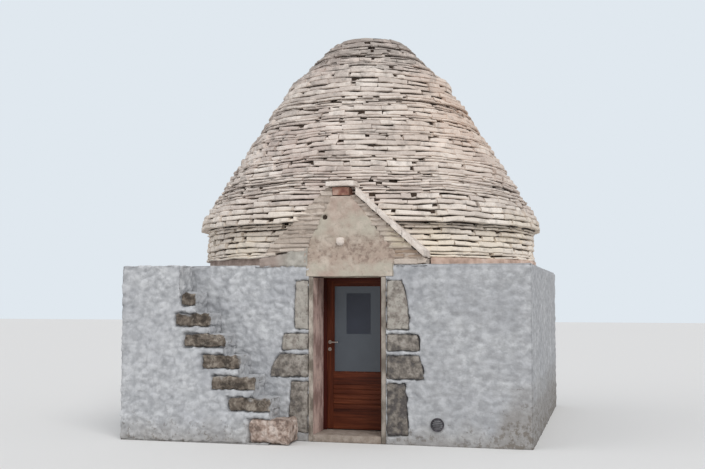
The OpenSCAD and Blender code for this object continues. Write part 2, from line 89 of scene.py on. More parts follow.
class Wire:
    """One output of a shader node. Sums and products of wires add Math nodes."""

    def __init__(self, tree, socket):
        self.tree, self.socket = tree, socket

    def maths(self, operation, *values):
        node = self.tree.nodes.new("ShaderNodeMath")
        node.operation = operation
        for slot, value in zip(node.inputs, values):
            plug(self.tree, slot, value)
        return Wire(self.tree, node.outputs[0])

    def __add__(self, other):
        return self.maths("ADD", self, other)

    def __sub__(self, other):
        return self.maths("SUBTRACT", self, other)

    def __rsub__(self, other):
        return self.maths("SUBTRACT", other, self)

    def __mul__(self, other):
        return self.maths("MULTIPLY", self, other)

    __radd__, __rmul__ = __add__, __mul__


def plug(tree, slot, value):
    """Sets a socket to a number or colour, or links a wire to it."""
    if isinstance(value, Wire):
        tree.links.new(value.socket, slot)
    else:
        slot.default_value = value


class Finish:
    """A surface finish: nodes are added one at a time, and end in one Principled shader."""

    def __init__(self, name, **constants):
        self.material = bpy.data.materials.new(name)
        self.material.use_nodes = True
        self.tree = self.material.node_tree
        self.shader = self.tree.nodes["Principled BSDF"]
        self.put(**constants)
        self.place = self.add("TexCoord", output="Object")
        self.colour = self.normal = None

    def add(self, kind, settings=None, sockets=None, output=None):
        node = self.tree.nodes.new("ShaderNode" + kind)
        for name, value in (settings or {}).items():
            if name == "stops":
                ramp = node.color_ramp
                while len(ramp.elements) < len(value):
                    ramp.elements.new(0.5)
                for element, (position, colour) in zip(ramp.elements, value):
                    element.position, element.color = position, colour
            else:
                setattr(node, name, value)
        for name, value in (sockets or {}).items():
            slot = next(s for s in node.inputs if s.name == name and s.enabled)
            plug(self.tree, slot, value)
        out = next(s for s in node.outputs if s.enabled and output in (None, s.name))
        return Wire(self.tree, out)

    def put(self, **sockets):
        """Feeds the shader: base_color sets Base Color, and so on."""
        for name, value in sockets.items():
            plug(self.tree, self.shader.inputs[name.replace("_", " ").title()], value)
        return self

    def grain(self, scale, detail=4.0, rough=0.55, stretch=(1, 1, 1), shift=0.0):
        """Cloudy noise, with scale in patches per metre."""
        place = self.place
        if shift or tuple(stretch) != (1, 1, 1):
            place = self.add("Mapping", {}, {"Vector": place, "Scale": stretch, "Location": (shift,) * 3})
        sockets = {"Vector": place, "Scale": scale, "Detail": detail, "Roughness": rough}
        return self.add("TexNoise", {}, sockets)

    def span(self, value, low, high):
        """Turns a value from low to high into one from 0 to 1, and holds it there."""
        return self.add("MapRange", {}, {"Value": value, "From Min": low, "From Max": high})

    def place_on(self, axis):
        """Where a point lies along X, Y or Z, in metres."""
        return self.add("SeparateXYZ", {}, {"Vector": self.place}, axis)

    def marked(self, name):
        """The value that the mesh carries at each point under a name."""
        return self.add("Attribute", {"attribute_name": name}, {}, "Fac")

    def mix(self, amount, under, over):
        return self.add("Mix", {"data_type": "RGBA"}, {"Factor": amount, "A": under, "B": over})

    def paint(self, colour):
        """Gives the finish its first colour."""
        self.colour = colour
        return self.put(base_color=colour)

    def stain(self, amount, code):
        """Lays a colour over those so far."""
        return self.paint(self.mix(amount, self.colour, shade(code)))

    def ramp(self, value, *stops):
        return self.add("ValToRGB", {"stops": [(p, shade(c)) for p, c in stops]}, {"Fac": value}, "Color")

    def bump(self, grain, depth):
        """Relief too fine for the mesh, depth metres deep. Grain is a wire, or the measures of a grain."""
        height = grain if isinstance(grain, Wire) else self.grain(*grain)
        sockets = {"Height": height, "Distance": depth, "Strength": 1.0}
        if self.normal:
            sockets["Normal"] = self.normal
        self.normal = self.add("Bump", {}, sockets)
        return self.put(normal=self.normal)


def solids(node):
    """The boxes of the separate solids of a CAD node, as pairs of corners, lowest first."""
    bm = bmesh.new()
    bm.from_mesh(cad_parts[node].data)
    bmesh.ops.remove_doubles(bm, verts=bm.verts, dist=1e-5)
    left, boxes = set(bm.verts), []
    while left:
        group, edge = set(), {next(iter(left))}
        while edge:
            group |= edge
            edge = {e.other_vert(v) for v in edge for e in v.link_edges} - group
        left -= group
        boxes.append(tuple(Vector(f(v.co[k] for v in group) for k in range(3)) for f in (min, max)))
    bm.free()
    return sorted(boxes, key=lambda b: (round(b[0].z, 3), b[0].x))


def block(lo, hi, cell=math.inf):
    """A box, whose faces may be divided into cells of about the given size."""
    bm = bmesh.new()
    bmesh.ops.create_cube(bm, size=1, matrix=Matrix.LocRotScale((lo + hi) / 2, None, hi - lo))
    for axis in range(3):
        edges = [e for e in bm.edges if abs((e.verts[0].co - e.verts[1].co)[axis]) > 1e-6]
        cuts = round((hi - lo)[axis] / cell) - 1
        if cuts > 0:
            bmesh.ops.subdivide_edges(bm, edges=edges, cuts=cuts, use_grid_fill=True)
    return bm


def flatten_backs(bm, planes):
    """Makes each hidden flat side one face again. A plane is an axis and a place on it."""
    for axis, place in planes:
        faces = [f for f in bm.faces if all(abs(v.co[axis] - place) < 1e-4 for v in f.verts)]
        if len(faces) > 1:
            bmesh.ops.dissolve_faces(bm, faces=faces)
    return bm


def piece(name, bm, finish, body, slot, *nodes, smooth=True):
    """Makes a piece of a mesh: its finish, the body that it rides on and the nodes that it stands for."""
    mesh = bpy.data.meshes.new(name)
    bm.to_mesh(mesh)
    bm.free()
    if smooth:
        mesh.shade_smooth()
    mesh.materials.append(finish.material)
    obj = bpy.data.objects.new(name, mesh)
    scene.collection.objects.link(obj)
    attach(obj, body)
    if nodes:
        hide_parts(*nodes)


def smoothstep(value):
    value = min(1.0, max(0.0, value))
    return value * value * (3 - 2 * value)


stone_wide, stone_tall = 0.17, 0.1
wash_joint, wash_bulge, wash_ripple = 0.012, 0.008, 0.01
wash_deep = wash_joint + wash_bulge + wash_ripple
combed_from, combed_over, combed_calm = 1.2, 0.5, 0.6
arris_round, arris_share, top_share = 0.035, 0.7, 0.35
edge_in = {"left_jamb_stones": (-0.03, -0.15, -0.03, -0.02), "right_jamb_stones": (0.04, 0.07, 0.025, 0.09)}
bare_stones = [(*box, 0.0) for node in ("stair_steps", "stair_block") for box in solids(node)]
bare_stones += [(*box, drawn) for node in edge_in for box, drawn in zip(solids(node), edge_in[node])]
wash_lap, bare_recess, bare_share, bare_reach = 0.035, 0.09, 0.3, 0.1


def rubble(p):
    """How deep the washed face lies under its plane: lumpy, and combed smoother on the right."""
    cell = Vector((p.x / stone_wide, p.y / stone_wide, p.z / stone_tall)) + noise.noise_vector(p * 5) * 0.5
    near, spots = noise.voronoi(cell)
    joint = smoothstep(1 - (near[1] - near[0]) / 0.45)
    stone = 0.5 + 0.5 * noise.noise(spots[0] * 5.3)
    even = smoothstep((p.x - combed_from) / combed_over)
    lumps = noise.fractal(p * 13, 1.0, 2.0, 4)
    combed = noise.fractal(Vector((p.x * 6, p.y * 6, p.z * 15)), 1.0, 2.0, 4)
    ripple = lumps + (combed - lumps) * even
    stones = wash_joint * joint * (0.4 + stone) + wash_bulge * stone
    return max(0.0, stones * (1 - combed_calm * even) + wash_ripple * (0.5 + ripple))


def ends_at(lo, hi, drawn, z):
    """Where a stone begins and ends in X at a height: its right edge is drawn in upwards, or its left."""
    rise = min(1.0, max(0.0, (z - lo.z) / (hi.z - lo.z)))
    return lo.x - min(0.0, drawn) * rise ** 2, hi.x - max(0.0, drawn) * rise ** 2


def bare(p):
    """How far a washed front draws back, where a bare stone comes through it."""
    depth = 0.0
    for lo, hi, drawn in bare_stones:
        left, right = ends_at(lo, hi, drawn, p.z)
        out = max(left - p.x, p.x - right, lo.z - p.z, p.z - hi.z)
        if out < bare_reach and abs(p.y - lo.y) < bare_reach:
            ragged = 0.022 * noise.noise(p * 11) + 0.012 * noise.noise(p * 27)
            depth = max(depth, bare_recess * smoothstep(bare_share - (out + ragged) / wash_lap))
    return depth


def wash(bm, outer, round_top=lambda p: 1.0):
    """Gives relief to the outer sides. A side is an axis, the place of its plane and which way is in."""
    layer = bm.verts.layers.float.new("hollow")
    for v in bm.verts:
        p = v.co.copy()
        sides = [s for s in outer if abs(p[s[0]] - s[1]) < 1e-4]
        if not sides:
            continue
        depth = rubble(p)
        v[layer] = min(1.0, depth / wash_deep)
        for axis, place, inward in sides:
            near = [abs(p[a] - b) for a, b, _ in outer if a != axis and not (a == 2 and round_top(p) < 0.5)]
            gap = min(near, default=1.0)
            curve = arris_round - math.sqrt(max(0.0, arris_round ** 2 - max(0.0, arris_round - gap) ** 2))
            more = bare(p) if axis == 1 else 0.0
            relief = depth * (top_share if axis == 2 else 1.0)
            v.co[axis] = place + inward * (max(relief, more) + arris_share * curve)


lime = Finish("whitewash", roughness=0.92)
soil = lime.span(lime.grain(2.2, 5, 0.6), 0.35, 0.68)
lime.paint(lime.mix(soil, shade("b9babd"), shade("d1d2d3")))
mottle = lime.span(lime.grain(10, 4, 0.65, shift=2.0), 0.44, 0.62)
lime.stain(mottle * 0.6, "96979a")
streak = lime.span(lime.grain(1.0, 5, 0.6, (7, 7, 0.7)), 0.5, 0.78)
lime.stain(streak * 0.25, "a2a5a8")
beside, rise = lime.place_on("X"), lime.place_on("Z")
combed = lime.span(lime.grain(1.0, 4, 0.6, (8, 8, 13), shift=4.0), 0.4, 0.6)
lime.stain(lime.span(beside, 0.9, 1.4) * (0.12 + combed * 0.38), "8b8b8c")
# Painted shade: the wash is painted greyer where its relief lies deepest, in the hollows between the
# stones.
lime.stain(lime.span(lime.marked("hollow"), 0.4, 0.9) * 0.48, "838588")
corner = lime.span(beside, 2.15, 2.4) * (1 - lime.span(rise, 0.7, 1.1)) * 0.7
low = 1 - lime.span(rise, 0.0, 0.6) + corner
scuffs = lime.span(lime.grain(13, 6, 0.75) + low * 0.1, 0.63, 0.7) * (0.12 + 0.7 * low)
lime.stain(scuffs, "665f58")
foot = lime.span(lime.grain(4, 5) * 0.7 + low, 0.85, 1.35)
lime.stain(foot * 0.6, "857f78")
lime.bump((42, 5, 0.65), 0.008).bump((170, 3, 0.6), 0.0015)

front_cell, side_cell, gable_margin = 0.017, 0.03, 0.03
wall_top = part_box("front_wall_left")[1].z
gable_span = (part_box("plaster_fillet")[0].x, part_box("gable_shoulder_right")[1].x)


def open_top(p):
    """1 where the top edge of a wall is free, 0 under the gable."""
    under = gable_span[0] - gable_margin < p.x < gable_span[1] + gable_margin
    return 0.0 if under and p.y < 0 else 1.0


for name, out in (("front_wall_left", 0), ("front_wall_right", 1)):
    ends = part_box(name)
    lo, hi = ends
    inner = (0, ends[1 - out].x)
    wall = flatten_backs(block(lo, hi, front_cell), [inner, (1, hi.y), (2, lo.z)])
    wash(wall, [(0, ends[out].x, 1 - 2 * out), (1, lo.y, 1), (2, hi.z, -1)], open_top)
    piece(name + "_wash", wall, lime, "house", "whitewash", name)

for name, out in (("left_party_wall", 0), ("right_party_wall", 1)):
    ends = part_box(name)
    lo, hi = ends
    inner = (0, ends[1 - out].x)
    wall = flatten_backs(block(lo, hi, side_cell), [inner, (1, lo.y), (1, hi.y), (2, lo.z)])
    wash(wall, [(0, ends[out].x, 1 - 2 * out), (2, hi.z, -1)])
    piece(name + "_wash", wall, lime, "house", "whitewash", name)

lo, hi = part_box("rear_wall")
wall = flatten_backs(block(lo, hi, side_cell), [(1, lo.y), (2, lo.z)])
wash(wall, [(0, lo.x, 1), (0, hi.x, -1), (1, hi.y, -1), (2, hi.z, -1)])
piece("rear_wall_wash", wall, lime, "house", "whitewash", "rear_wall")

# Stones beside the door
# Rough blocks of grey limestone that key the doorway into the rubble. They are left bare of limewash, damp
# has darkened the lowest ones, and their outer edges curve in towards the top.
jamb_worn, jamb_chip, stone_cell = 0.045, 0.03, 0.018


def gather(parts):
    """Joins several meshes into one."""
    whole = bmesh.new()
    for part in parts:
        mesh = bpy.data.meshes.new("part")
        part.to_mesh(mesh)
        part.free()
        whole.from_mesh(mesh)
        bpy.data.meshes.remove(mesh)
    return whole


def rough_stone(lo, hi, worn, chip, colour=None, cell=stone_cell):
    """A split stone that fills its box: round at the edges, with chips and dents."""
    bm = block(lo, hi, cell)
    tone = bm.verts.layers.float.new("tone")
    colour = random.random() if colour is None else colour
    for v in bm.verts:
        p = v.co.copy()
        radius = worn * (0.85 + 0.5 * noise.noise(p * 6 + lo * 3))
        core = Vector([min(hi[k] - radius, max(lo[k] + radius, p[k])) for k in range(3)])
        dent = 0.45 + 0.4 * noise.noise(p * 6 + lo * 2) + 0.4 * noise.fractal(p * 16 + lo, 1.0, 2.0, 5)
        v.co = core + (p - core).normalized() * (radius - chip * max(0.0, dent))
        v[tone] = colour
    return bm


def draw_in(bm, lo, hi, drawn):
    """Curves a stone's outer edge in towards its top."""
    for v in bm.verts:
        left, right = ends_at(lo, hi, drawn, v.co.z)
        v.co.x = left + (v.co.x - lo.x) * (right - left) / (hi.x - lo.x)
    return bm


def rock(name, colours, own=0.35, pits=0.5, flecks=0.4, swing=0.3):
    """Weathered limestone, with a tone for each stone, paler flecks and painted shade in pits."""
    finish = Finish(name, roughness=0.95)
    tinted(finish, colours, 7.0, own, swing)
    pale = finish.span(finish.grain(12, 6, 0.75, shift=5.0), 0.52, 0.64)
    finish.stain(pale * flecks, colours[-1])
    # Painted shade: dark spots stand for the shadow inside the stone's pits.
    pit_shade = finish.span(finish.grain(15, 6, 0.78), 0.54, 0.64)
    finish.stain(pit_shade * pits, "39322c")
    return finish.bump((55, 5, 0.7), 0.012).bump((16, 4), 0.02)


def tinted(finish, colours, patches, own, swing=0.0):
    """Paints stones: each has a tone of its own, over slow patches and fine specks."""
    value = finish.marked("tone") * own + finish.grain(patches, 4) * (1 - own)
    value = value + finish.grain(38, 4, 0.65) * 0.35
    if swing:
        value = value + (finish.span(finish.grain(11, 2, 0.6, shift=8.0), 0.36, 0.64) - 0.5) * swing
    steps = [(0.35 + 0.6 * k / (len(colours) - 1), c) for k, c in enumerate(colours)]
    return finish.paint(finish.ramp(value, *steps))


jamb_rock = rock("jamb_rock", ("575250", "787169", "978f87", "b0aaa1"), 0.75, 0.5, 0.3, 0.42)
left_tones, right_tones = (0.46, 0.46, 0.76, 0.92), (0.16, 0.36, 0.44, 0.7)
for name, tones in (("left_jamb_stones", left_tones), ("right_jamb_stones", right_tones)):
    stones = [draw_in(rough_stone(lo, hi, jamb_worn, jamb_chip, colour), lo, hi, drawn)
              for (lo, hi), drawn, colour in zip(solids(name), edge_in[name], tones)]
    piece(name + "_rough", gather(stones), jamb_rock, "house", "jamb_stone", name)

# Stair
# Six long dark stones and a pale block, laid as steps in front of the wall on a whitewashed mass of rubble.
# The fronts of the stones are bare, and the wash runs over their treads and their right ends.
stair_wear, stair_round, stair_sunk = 0.018, 0.02, 0.08
limed_long, limed_deep, limed_soft = 0.06, 0.035, 0.03
step_worn, step_chip, step_tones = 0.055, 0.05, (0.3, 0.25, 0.3, 0.3, 0.15, 0.3)
block_worn, block_chip = 0.1, 0.035
steps = solids("stair_steps")
block_lo, block_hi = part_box("stair_block")
mass_lo, mass_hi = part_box("stair_mass")


def prism(outline, y0, y1, cell=math.inf):
    """An outline in X and Z, carried from y0 to y1. It may be divided into cells."""
    bm = bmesh.new()
    face = bm.faces.new([bm.verts.new((x, y0, z)) for x, z in outline])
    made = bmesh.ops.extrude_face_region(bm, geom=[face])["geom"]
    far = [v for v in made if isinstance(v, bmesh.types.BMVert)]
    bmesh.ops.translate(bm, vec=(0, y1 - y0, 0), verts=far)
    bmesh.ops.recalc_face_normals(bm, faces=bm.faces)
    return divide(bm, cell)


def divide(bm, cell):
    """Cuts every face into cells of about the given size."""
    for axis in range(3):
        values = [v.co[axis] for v in bm.verts]
        low, high = min(values), max(values)
        count = round((high - low) / cell)
        for k in range(1, count):
            spot, across = Vector(), Vector()
            spot[axis], across[axis] = low + (high - low) * k / count, 1
            geom = bm.verts[:] + bm.edges[:] + bm.faces[:]
            bmesh.ops.bisect_plane(bm, geom=geom, plane_co=spot, plane_no=across, dist=1e-4)
    return bm


def shaped(bm, cell, ease, hidden=()):
    """Merges a copied mesh, rounds its sharp outer edges and divides its faces into cells."""
    bmesh.ops.remove_doubles(bm, verts=bm.verts, dist=1e-5)
    bmesh.ops.dissolve_limit(bm, angle_limit=0.01, verts=bm.verts, edges=bm.edges)
    sharp = [e for e in bm.edges if e.calc_face_angle(0) > 0.6 and e.is_convex
             and not any(all(abs(v.co[k] - at) < 1e-4 for v in e.verts) for k, at in hidden)]
    bmesh.ops.bevel(bm, geom=sharp, offset=ease, offset_type="OFFSET", segments=2, profile=0.5,
                    affect="EDGES", material=-1)
    return divide(bm, cell) if cell else bm


def wash_over(bm, hidden):
    """Gives the wash's relief to every side, except on hidden planes, each an axis and a place."""
    layer = bm.verts.layers.float.new("hollow")
    front = min(v.co.y for v in bm.verts)
    bm.normal_update()
    for v in bm.verts:
        p = v.co.copy()
        if any(abs(p[axis] - place) < 1e-3 for axis, place in hidden):
            continue
        depth = rubble(p)
        v[layer] = min(1.0, depth / wash_deep)
        v.co -= v.normal * depth
        v.co.y = max(v.co.y, front + bare(p))
    return bm


outline = [(mass_lo.x, 0.0), (mass_hi.x, 0.0)]
for lower, upper in zip([(block_lo, block_hi)] + steps, steps):
    x = upper[1].x - stair_wear
    outline += [(x, lower[1].z - stair_sunk), (x, upper[1].z - stair_sunk)]
last = steps[-1][1]
end = last.x - (steps[-2][1].x - last.x) - stair_wear
outline += [(end, last.z - stair_sunk), (end, mass_hi.z), (mass_lo.x, mass_hi.z)]
outline = [p for k, p in enumerate(outline) if p != outline[k - 1]]
mass = prism(outline, mass_lo.y, mass_hi.y)
mass = wash_over(shaped(mass, front_cell, stair_round), [(1, mass_hi.y), (2, 0.0)])
piece("stair_mass_wash", mass, lime, "house", "whitewash", "stair_mass")


def limed_end(bm, lo, hi):
    """Marks the top and the right end of a step stone, behind its front, which the wash runs over."""
    limed = bm.verts.layers.float.new("limed")
    for v in bm.verts:
        ragged = limed_soft * noise.noise(v.co * 13)
        over = smoothstep((max(v.co.x - hi.x, v.co.z - hi.z) + limed_long + ragged) / limed_soft)
        v[limed] = over * smoothstep((v.co.y - lo.y - limed_deep + ragged) / limed_soft)
    return bm


step_rock = rock("step_rock", ("463e37", "62584e", "7c7166", "a39a8e"), 0.35, 0.65, 0.5, 0.5)
step_rock.stain(step_rock.marked("limed"), "b4b5b7")
stones = gather([limed_end(rough_stone(lo, hi, step_worn, step_chip, colour), lo, hi)
                 for (lo, hi), colour in zip(steps, step_tones)])
piece("stair_steps_rough", stones, step_rock, "house", "step_stone", "stair_steps")
block_rock = rock("block_rock", ("75645a", "9a867a", "b6a397", "d2c3b9"), pits=0.4, swing=0.6)
stone = rough_stone(block_lo, block_hi, block_worn, block_chip)
piece("stair_block_rough", stone, block_rock, "house", "block_stone", "stair_block")

# Linings and threshold
# The reveals are lined with stone strips and smooth pinkish plaster, worn and stained, and darker on the
# right.
# The sill is one pale slab, worn a little hollow.


def copied(node):
    """A loose copy of a CAD node's mesh."""
    bm = bmesh.new()
    bm.from_mesh(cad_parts[node].data)
    return bm


def roughen(bm, depth, scale, hidden=()):
    """Dents a surface along its normals, except on hidden planes, each an axis and a place."""
    bm.normal_update()
    for v in bm.verts:
        if not any(abs(v.co[axis] - place) < 1e-3 for axis, place in hidden):
            v.co -= v.normal * depth * (0.5 + 0.5 * noise.fractal(v.co * scale, 1.0, 2.0, 4))
    return bm


def worn(node, cell, ease, depth, scale, hidden=()):
    """A copy of a CAD node's mesh with its edges eased and its faces dented."""
    return roughen(shaped(copied(node), cell, ease), depth, scale, hidden)


lining = Finish("lining_plaster", roughness=0.9)
cloud = lining.grain(6, 4, 0.6, (1, 1, 0.5))
strip = lining.ramp(cloud, (0.4, "6e6459"), (0.5, "978d82"), (0.6, "b9aea2"))
reveal = lining.ramp(cloud, (0.4, "967a72"), (0.5, "bb9f96"), (0.6, "d0b6ab"))
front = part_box("reveal_linings")[0].y
behind = lining.span(lining.place_on("Y"), front + 0.01, front + 0.05)
lining.paint(lining.mix(behind, strip, reveal))
door_middle = sum(end.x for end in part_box("leaf_glass")) / 2
# The lining is painted darker right of the door.
right_side = lining.span(lining.place_on("X"), door_middle, door_middle + 0.1)
lining.stain(right_side * 0.35, "6f6a63")
rub = lining.span(lining.grain(16, 6, 0.75), 0.54, 0.66)
lining.stain(rub * 0.45, "695e54")
lining.bump((60, 5, 0.65), 0.004).bump((12, 4), 0.012)
linings = worn("reveal_linings", cell=0.04, ease=0.008, depth=0.004, scale=10)
piece("reveal_linings_worn", linings, lining, "house", "lining", "reveal_linings")
sill_rock = rock("sill_rock", ("8c7f73", "a2958a", "b6aa9f"), pits=0.25)
sill = worn("threshold", cell=0.05, ease=0.012, depth=0.006, scale=9, hidden=[(2, 0.0)])
piece("threshold_worn", sill, sill_rock, "house", "block_stone", "threshold")

# Door frame and leaf
# Red-brown varnished wood: a rebated frame, two stiles and three rails, with five boards under the glass.
# The members are mortised together with eased edges, and the boards run across, with painted shade in their
# joints.
wood_ease, board_ease = 0.0035, 0.012


def timber(name, colours, along):
    """Varnished wood with its grain along an axis, with painted shade in the joints."""
    finish = Finish(name, roughness=0.5)
    finish.shader.inputs["Specular IOR Level"].default_value = 0.2
    stretch = [46.0, 46.0, 46.0]
    stretch[along] = 2.2
    fine = finish.grain(1.0, 6, 0.65, stretch)
    wide = finish.grain(0.28, 4, 0.55, stretch)
    finish.paint(finish.ramp(fine * 0.55 + wide * 0.5, *zip((0.36, 0.52, 0.68), colours)))
    # Painted shade: the grooves between the boards are painted nearly black.
    finish.stain(finish.marked("joint"), "140704")
    finish.put(roughness=0.42 + finish.grain(3, 4) * 0.25)
    return finish.bump(fine, 0.0012)


frame_colours = ("2a0a06", "3f120b", "562014")
leaf_colours = ("351409", "532411", "703a22")
upright_frame = timber("upright_frame", frame_colours, 2)
across_frame = timber("across_frame", frame_colours, 0)
upright_leaf, across_leaf = timber("upright_leaf", leaf_colours, 2), timber("across_leaf", leaf_colours, 0)
for node, finish, body, slot in (
        ("frame_posts", upright_frame, "house", "frame_wood"),
        ("frame_head", across_frame, "house", "frame_wood"),
        ("leaf_stiles", upright_leaf, "door", "door_wood"),
        ("leaf_rails", across_leaf, "door", "door_wood"),
        ("leaf_boards", across_leaf, "door", "door_wood")):
    bm = shaped(copied(node), None, board_ease if node == "leaf_boards" else wood_ease)
    # Marks the grooves between the boards, where shade is painted.
    joint = bm.verts.layers.float.new("joint")
    front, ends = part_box(node)[0].y, [z for box in solids(node) for z in (box[0].z, box[1].z)]
    for v in bm.verts:
        near_end = min(abs(v.co.z - z) for z in ends) < 1e-3
        v[joint] = float(node == "leaf_boards" and near_end and v.co.y > front + 1e-3)
    piece(node + "_eased", bm, finish, body, slot, node, smooth=False)

# Glass and its beads
# One pane of obscured grey glass over the rail, held by four slim wooden beads with eased edges.
# A plain dark sheet is fixed to the pane's outer face.


def refinish(node, finish):
    """Gives a CAD node that keeps its own mesh a finish."""
    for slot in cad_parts[node].material_slots:
        slot.material = finish.material


glass_lo, glass_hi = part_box("leaf_glass")
bead_w, bead_t, bead_ease, pane_seat = 0.013, 0.011, 0.003, 0.008
pane = Finish("pane", roughness=0.2, coat_weight=0.25)
# Painted reflection: the pane is painted lighter towards its top.
painted_reflection = pane.span(pane.place_on("Z"), glass_lo.z, glass_hi.z)
pane.paint(pane.mix(painted_reflection, shade("3d434b"), shade("4e555d")))
pane.stain(pane.grain(4, 3) * 0.4, "585f66")
pane.bump((70, 3), 0.0006)
refinish("leaf_glass", pane)
sight_lo = Vector((glass_lo.x + pane_seat, glass_lo.y - bead_t, glass_lo.z + pane_seat))
sight_hi = Vector((glass_hi.x - pane_seat, glass_lo.y, glass_hi.z - pane_seat))
beads = []
for side in (0, 1):
    for axis, inset in ((0, 0.0), (2, bead_w)):
        lo, hi = sight_lo + Vector((inset, 0, 0)), sight_hi - Vector((inset, 0, 0))
        if side == 0:
            hi[axis] = lo[axis] + bead_w
        else:
            lo[axis] = hi[axis] - bead_w
        beads.append(shaped(block(lo, hi), None, bead_ease))
piece("glass_beads", gather(beads), upright_leaf, "door", "door_wood", smooth=False)
sheet_left, sheet_right, sheet_foot, sheet_head = 0.15, 0.18, 1.36, 1.9
sheet_out, sheet_in, sheet_ease = 0.0025, 0.0002, 0.0008
lo = Vector((door_middle - sheet_left, glass_lo.y - sheet_out, sheet_foot))
hi = Vector((door_middle + sheet_right, glass_lo.y - sheet_in, sheet_head))
film = Finish("dark_sheet", roughness=0.5)
film.paint(film.mix(film.grain(6, 3), shade("262c38"), shade("323846")))
piece("dark_sheet", shaped(block(lo, hi), None, sheet_ease), film, "door", "glass", smooth=False)

# Door fittings and vent
# A satin steel lever on round roses, with a key plate under it, and three dull steel hinges on the inside.
# The vent low in the right wall is painted cast iron, set into the wash.


def metal(name, dark, light, rough):
    """Brushed steel, with its lines along X."""
    finish = Finish(name, metallic=1.0)
    finish.paint(finish.ramp(finish.grain(1, 3, 0.5, (20, 160, 160)), (0.4, dark), (0.6, light)))
    finish.put(roughness=rough + finish.grain(30, 4) * 0.15)
    return finish


def clouded(name, patches, stops, fine, depth, **constants):
    """A plain finish: cloudy colour and fine relief, each given as the measures of a grain."""
    finish = Finish(name, **constants)
    return finish.paint(finish.ramp(finish.grain(*patches), *stops)).bump(fine, depth)


lever_steel = metal("lever_steel", "b0aca4", "d5d1c9", 0.22)
hinge_steel = metal("hinge_steel", "7c766d", "98928a", 0.38)
vent_iron = clouded("vent_iron", (25, 4), ((0.4, "38363a"), (0.6, "5a565a")), (60, 4), 0.002,
                    roughness=0.6, metallic=0.3)
for node, finish in (("door_lever", lever_steel), ("door_roses", lever_steel),
                     ("frame_hinges", hinge_steel), ("leaf_hinges", hinge_steel), ("wall_vent", vent_iron)):
    refinish(node, finish)

# Roof of flat stones
# Thin limestone slabs, split and laid dry in rings, each ring a little further in, up to the rounded crown.
# Their lengths and faces vary, some courses are two thin layers, and the gaps between them are dark.
course_tall, bed_tall = 0.077, 0.1
two_layers = 0.35
layer_split, slab_long, slab_back = (0.4, 0.6), (0.1, 0.5, 0.22), (0.0, 0.015)
pit_long, pit_back, pit_tall = (0.04, 0.13), (0.01, 0.035), (0.45, 0.85)
slab_deep, slab_hold, slab_least, slab_bend = (0.15, 0.2), 0.13, 0.03, 0.6
slab_lap, slab_arris, slab_jitter, slab_tilt = 0.008, 0.012, 0.008, 0.035
slab_thin, gable_gap = 0.86, 0.04
slab_lean, slab_ragged, slab_sag, row_wave = 0.02, 0.018, 0.48, 0.022
pit_share, pit_cluster, row_setback = 0.38, 2.2, 0.06
crown_foot, crown_blunt = 1.13, 0.58
gable_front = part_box("gable_face")[0].y
crown_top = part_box("roof_crown")[1].z
shoulder_foot, verge_foot = 0.19, 0.175


def courses(node):
    """The courses of a roof node as (bottom, top, radius), measured on the outermost upright edges.

    Those of the crown draw in evenly, to a blunt top.
    """
    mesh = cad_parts[node].data
    upright = []
    for edge in mesh.edges:
        a, b = (mesh.vertices[k].co for k in edge.vertices)
        upright.append((min(a.z, b.z), max(a.z, b.z), min(math.hypot(a.x, a.y), math.hypot(b.x, b.y))))
    bottom = max(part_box(node)[0].z, wall_top + bed_tall)
    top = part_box(node)[1].z
    count = round((top - bottom) / course_tall)
    levels = [bottom + (top - bottom) * k / count for k in range(count + 1)]
    found = []
    for low, high in zip(levels, levels[1:]):
        middle = (low + high) / 2
        found.append((low, high, max(r for z0, z1, r in upright if z0 < middle < z1)))
    if node == "roof_crown":
        step = (crown_foot - crown_blunt) / (count - 1)
        found = [(low, high, crown_foot - step * k) for k, (low, high, _) in enumerate(found)]
    return found


def in_gable(x, z):
    """Whether a point of the roof lies behind the stone gable."""
    ridge_lo, ridge_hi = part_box("ridge_slab")
    left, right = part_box("gable_shoulder_left")[0].x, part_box("gable_shoulder_right")[1].x
    up_left = (z - wall_top - shoulder_foot) / (ridge_lo.z - wall_top - shoulder_foot)
    up_right = (z - wall_top - verge_foot) / (ridge_lo.z - wall_top - verge_foot)
    slopes = left + (ridge_lo.x - left) * up_left, right + (ridge_hi.x - right) * up_right
    return z < ridge_hi.z and slopes[0] < x < slopes[1]


def lay_slab(bm, layers, spot, size, radius):
    """Adds one stone to a row that is still straight: x runs along the course and y into the roof."""
    ring, tone, face = layers
    tilt = Euler([random.uniform(-slab_tilt, slab_tilt) for _ in range(3)])
    place = Matrix.LocRotScale(spot, tilt, size)
    flat = place.inverted()
    colour, lean = random.random(), random.uniform(0, slab_lean)
    sag = [size.z * random.triangular(0.0, slab_sag, 0.0) for _ in range(2)]
    for v in bmesh.ops.create_cube(bm, size=1, matrix=place)["verts"]:
        corner = flat @ v.co
        v[ring], v[tone], v[face] = radius, colour, float(corner.y < 0)
        if corner.y < 0:
            v.co.x += random.uniform(-slab_ragged, slab_ragged)
            if corner.z > 0:
                v.co += Vector((0, lean, -sag[corner.x > 0]))


def dress_slabs(bm, face):
    """Splits the long edges, rounds the front beds and roughens the faces of all stones."""
    split = [e for e in bm.edges if abs((e.verts[0].co - e.verts[1].co).x) > 0.09]
    bmesh.ops.subdivide_edges(bm, edges=split, cuts=2, use_grid_fill=True)
    bm.normal_update()
    front = [e for e in bm.edges if min(v[face] for v in e.verts) > 0.9 and e.calc_face_angle(0) > 0.6
             and abs((e.verts[0].co - e.verts[1].co).z) < 0.02]
    bmesh.ops.bevel(bm, geom=front, offset=slab_arris, segments=1, profile=0.5, affect="EDGES", material=-1)
    for v in bm.verts:
        v.co += noise.noise_vector(v.co * 17) * slab_jitter + noise.noise_vector(v.co * 5) * slab_jitter
    return bm


